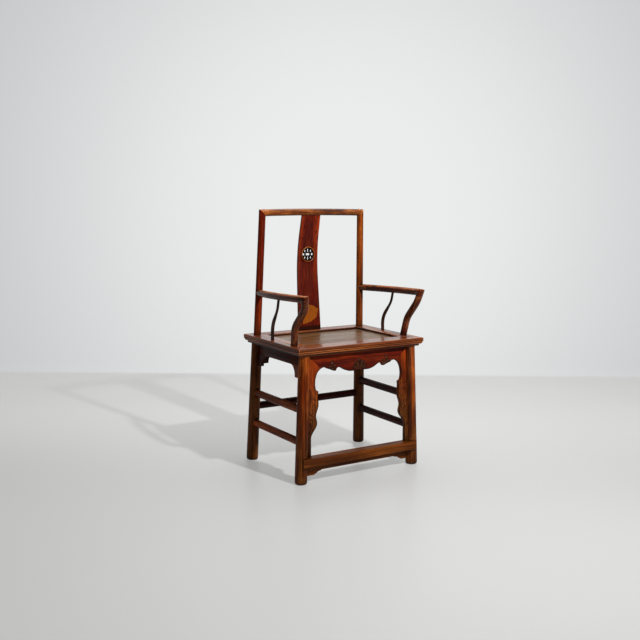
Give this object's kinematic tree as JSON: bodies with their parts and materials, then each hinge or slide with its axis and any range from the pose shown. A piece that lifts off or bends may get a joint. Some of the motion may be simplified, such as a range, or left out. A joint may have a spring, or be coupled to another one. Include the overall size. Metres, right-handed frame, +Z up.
{
  "type": "official's hat armchair",
  "caption": "High-backed timber armchair with a yoke-like top rail, curved pierced splat, gooseneck arm posts, sunken panel seat, cusped front apron and low foot rest.",
  "frame": {"origin": "middle of the chair's plan box, on the floor", "axes": "+Z up, +X to the right as seen from the front, +Y to the back"},
  "size_m": [0.571, 0.4454, 1.008],
  "materials": {
    "frame_wood": "semi-gloss",
    "top_wood": "semi-gloss",
    "splat_wood": "semi-gloss",
    "apron_wood": "satin",
    "dark_wood": "satin",
    "bracket_wood": "satin",
    "panel_wood": "semi-gloss",
    "stretcher_wood": "satin",
    "batten_wood": "matt"
  },
  "bodies": {
    "root": {"back_left_post": "frame_wood", "back_right_post": "frame_wood", "back_splat": "splat_wood", "foot_rest": "frame_wood", "foot_rest_apron": "apron_wood", "front_apron": "apron_wood", "front_left_leg": "frame_wood", "front_left_side_apron": "apron_wood", "front_right_leg": "frame_wood", "front_right_side_apron": "apron_wood", "left_apron": "dark_wood", "left_apron_back_bracket": "bracket_wood", "left_apron_front_bracket": "bracket_wood", "left_arm_rail": "frame_wood", "left_front_arm_post": "frame_wood", "left_lower_stretcher": "stretcher_wood", "left_mid_arm_post": "frame_wood", "left_seat_batten": "batten_wood", "left_upper_stretcher": "stretcher_wood", "rear_apron": "dark_wood", "rear_apron_left_bracket": "bracket_wood", "rear_apron_right_bracket": "bracket_wood", "rear_stretcher": "stretcher_wood", "right_apron": "dark_wood", "right_apron_back_bracket": "bracket_wood", "right_apron_front_bracket": "bracket_wood", "right_arm_rail": "frame_wood", "right_front_arm_post": "frame_wood", "right_lower_stretcher": "stretcher_wood", "right_mid_arm_post": "frame_wood", "right_seat_batten": "batten_wood", "right_upper_stretcher": "stretcher_wood", "seat_back_rail": "frame_wood", "seat_front_rail": "frame_wood", "seat_left_rail": "frame_wood", "seat_panel": "panel_wood", "seat_right_rail": "frame_wood", "top_rail": "top_wood"}
  },
  "joints": []
}
